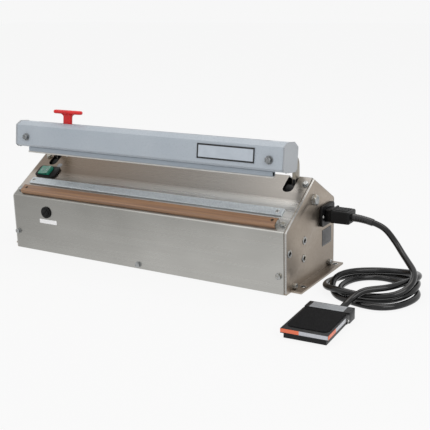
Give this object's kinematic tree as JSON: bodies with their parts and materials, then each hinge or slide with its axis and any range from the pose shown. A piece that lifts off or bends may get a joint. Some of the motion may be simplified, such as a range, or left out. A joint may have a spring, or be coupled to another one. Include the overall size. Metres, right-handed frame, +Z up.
{
  "type": "impulse sealer",
  "caption": "Bench impulse sealer: a wedge-shaped metal body with a heated bar, a pivoting pressure arm with a sliding film cutter, and a foot pedal on a coiled cord",
  "frame": {"origin": "the middle of the body's underside, on the table", "axes": "+X along the sealing bar to the end with the pedal socket, +Y from the user to the back, +Z up"},
  "size_m": [0.6304, 0.2717, 0.2113],
  "materials": {
    "stainless": "brushed stainless sheet",
    "plate_steel": "satin stainless sheet",
    "galvanised": "galvanised sheet",
    "zinc_steel": "zinc plated",
    "bright_steel": "bright ground",
    "dark_steel": "blackened laminations",
    "bar_aluminium": "mill finish",
    "bush_bronze": "sintered bronze",
    "tape": "brown coated glass cloth",
    "arm_paint": "pale grey-blue satin paint",
    "cap_paint": "pale grey satin paint",
    "silicone": "pale grey silicone",
    "label": "white film",
    "black_plastic": "black moulded",
    "red_plastic": "red moulded",
    "green_plastic": "clear green moulded",
    "white_plastic": "off-white moulded",
    "board_green": "green solder mask",
    "copper_winding": "varnished copper winding",
    "cord_rubber": "black sheath",
    "pad_rubber": "pebbled black rubber"
  },
  "bodies": {
    "machine": {"front_cover": "stainless", "rear_cover": "stainless", "base_plate": "galvanised", "end_plate_left": "plate_steel", "end_plate_right": "plate_steel", "pivot_shaft": "bright_steel", "pivot_bolt_left": "zinc_steel", "pivot_bolt_right": "zinc_steel", "sealing_bar": "bar_aluminium", "band_clamp_left": "zinc_steel", "band_clamp_right": "zinc_steel", "heating_band": "bright_steel", "tape_cover": "tape", "film_rest": "galvanised", "switch_bezel": "black_plastic", "fuse_holder": "black_plastic", "pedal_socket": "black_plastic", "mains_inlet": "black_plastic", "plug": "cord_rubber", "strain_relief": "cord_rubber", "cord_run": "cord_rubber", "cord_coil": "cord_rubber", "cord_tail": "cord_rubber", "transformer_core": "dark_steel", "transformer_coil": "copper_winding", "control_board": "board_green", "terminal_block": "white_plastic", "magnet_core": "dark_steel", "magnet_coil": "copper_winding", "magnet_stand": "galvanised", "return_spring_left": "bright_steel", "return_spring_right": "bright_steel", "pedal_base": "black_plastic", "pedal_pin": "bright_steel", "pedal_microswitch": "black_plastic", "pedal_spring": "bright_steel"},
    "arm": {"arm_profile": "arm_paint", "arm_cap_left": "cap_paint", "arm_cap_right": "cap_paint", "pressure_bar": "arm_paint", "silicone_strip": "silicone", "name_plate": "label", "lever_left": "zinc_steel", "lever_right": "zinc_steel", "bush_left": "bush_bronze", "bush_right": "bush_bronze", "tie_bar": "zinc_steel", "armature": "dark_steel", "slot_guard_left": "black_plastic", "slot_guard_right": "black_plastic", "arm_bolt_left": "zinc_steel", "arm_bolt_right": "zinc_steel"},
    "cutter": {"cutter_handle": "red_plastic", "cutter_carriage": "black_plastic", "cutter_blade": "bright_steel"},
    "rocker": {"switch_rocker": "green_plastic"},
    "fuse_cap": {"fuse_cap": "black_plastic"},
    "treadle": {"pedal_treadle": "black_plastic", "pedal_pad": "pad_rubber"}
  },
  "joints": [
    {"name": "arm_hinge", "type": "hinge", "parent": "machine", "child": "arm", "pos_m": [0, 0.0065, 0.107], "axis": [1, 0, 0], "range_deg": [0, 40.9], "stiffness_Nm_per_rad": 1.2, "springref_deg": -57.3, "deforming": ["return_spring_left", "return_spring_right"]},
    {"name": "cutter_slide", "type": "slide", "parent": "arm", "child": "cutter", "axis": [1, 0, 0], "range_m": [-0.045, 0.325]},
    {"name": "rocker_tilt", "type": "hinge", "parent": "machine", "child": "rocker", "pos_m": [-0.19995, -0.03055, 0.11198], "axis": [0, 0.8487, 0.5289], "range_deg": [0, 12]},
    {"name": "fuse_cap_turn", "type": "hinge", "parent": "machine", "child": "fuse_cap", "pos_m": [-0.165, -0.075, 0.0623], "axis": [0, -1, 0], "range_deg": [0, 90]},
    {"name": "pedal_press", "type": "hinge", "parent": "machine", "child": "treadle", "pos_m": [0.30823, -0.12643, 0.0054], "axis": [0.9984, 0.0558, 0], "range_deg": [0, 3.5], "stiffness_Nm_per_rad": 0.3, "springref_deg": -17.19, "deforming": ["pedal_spring"]}
  ]
}
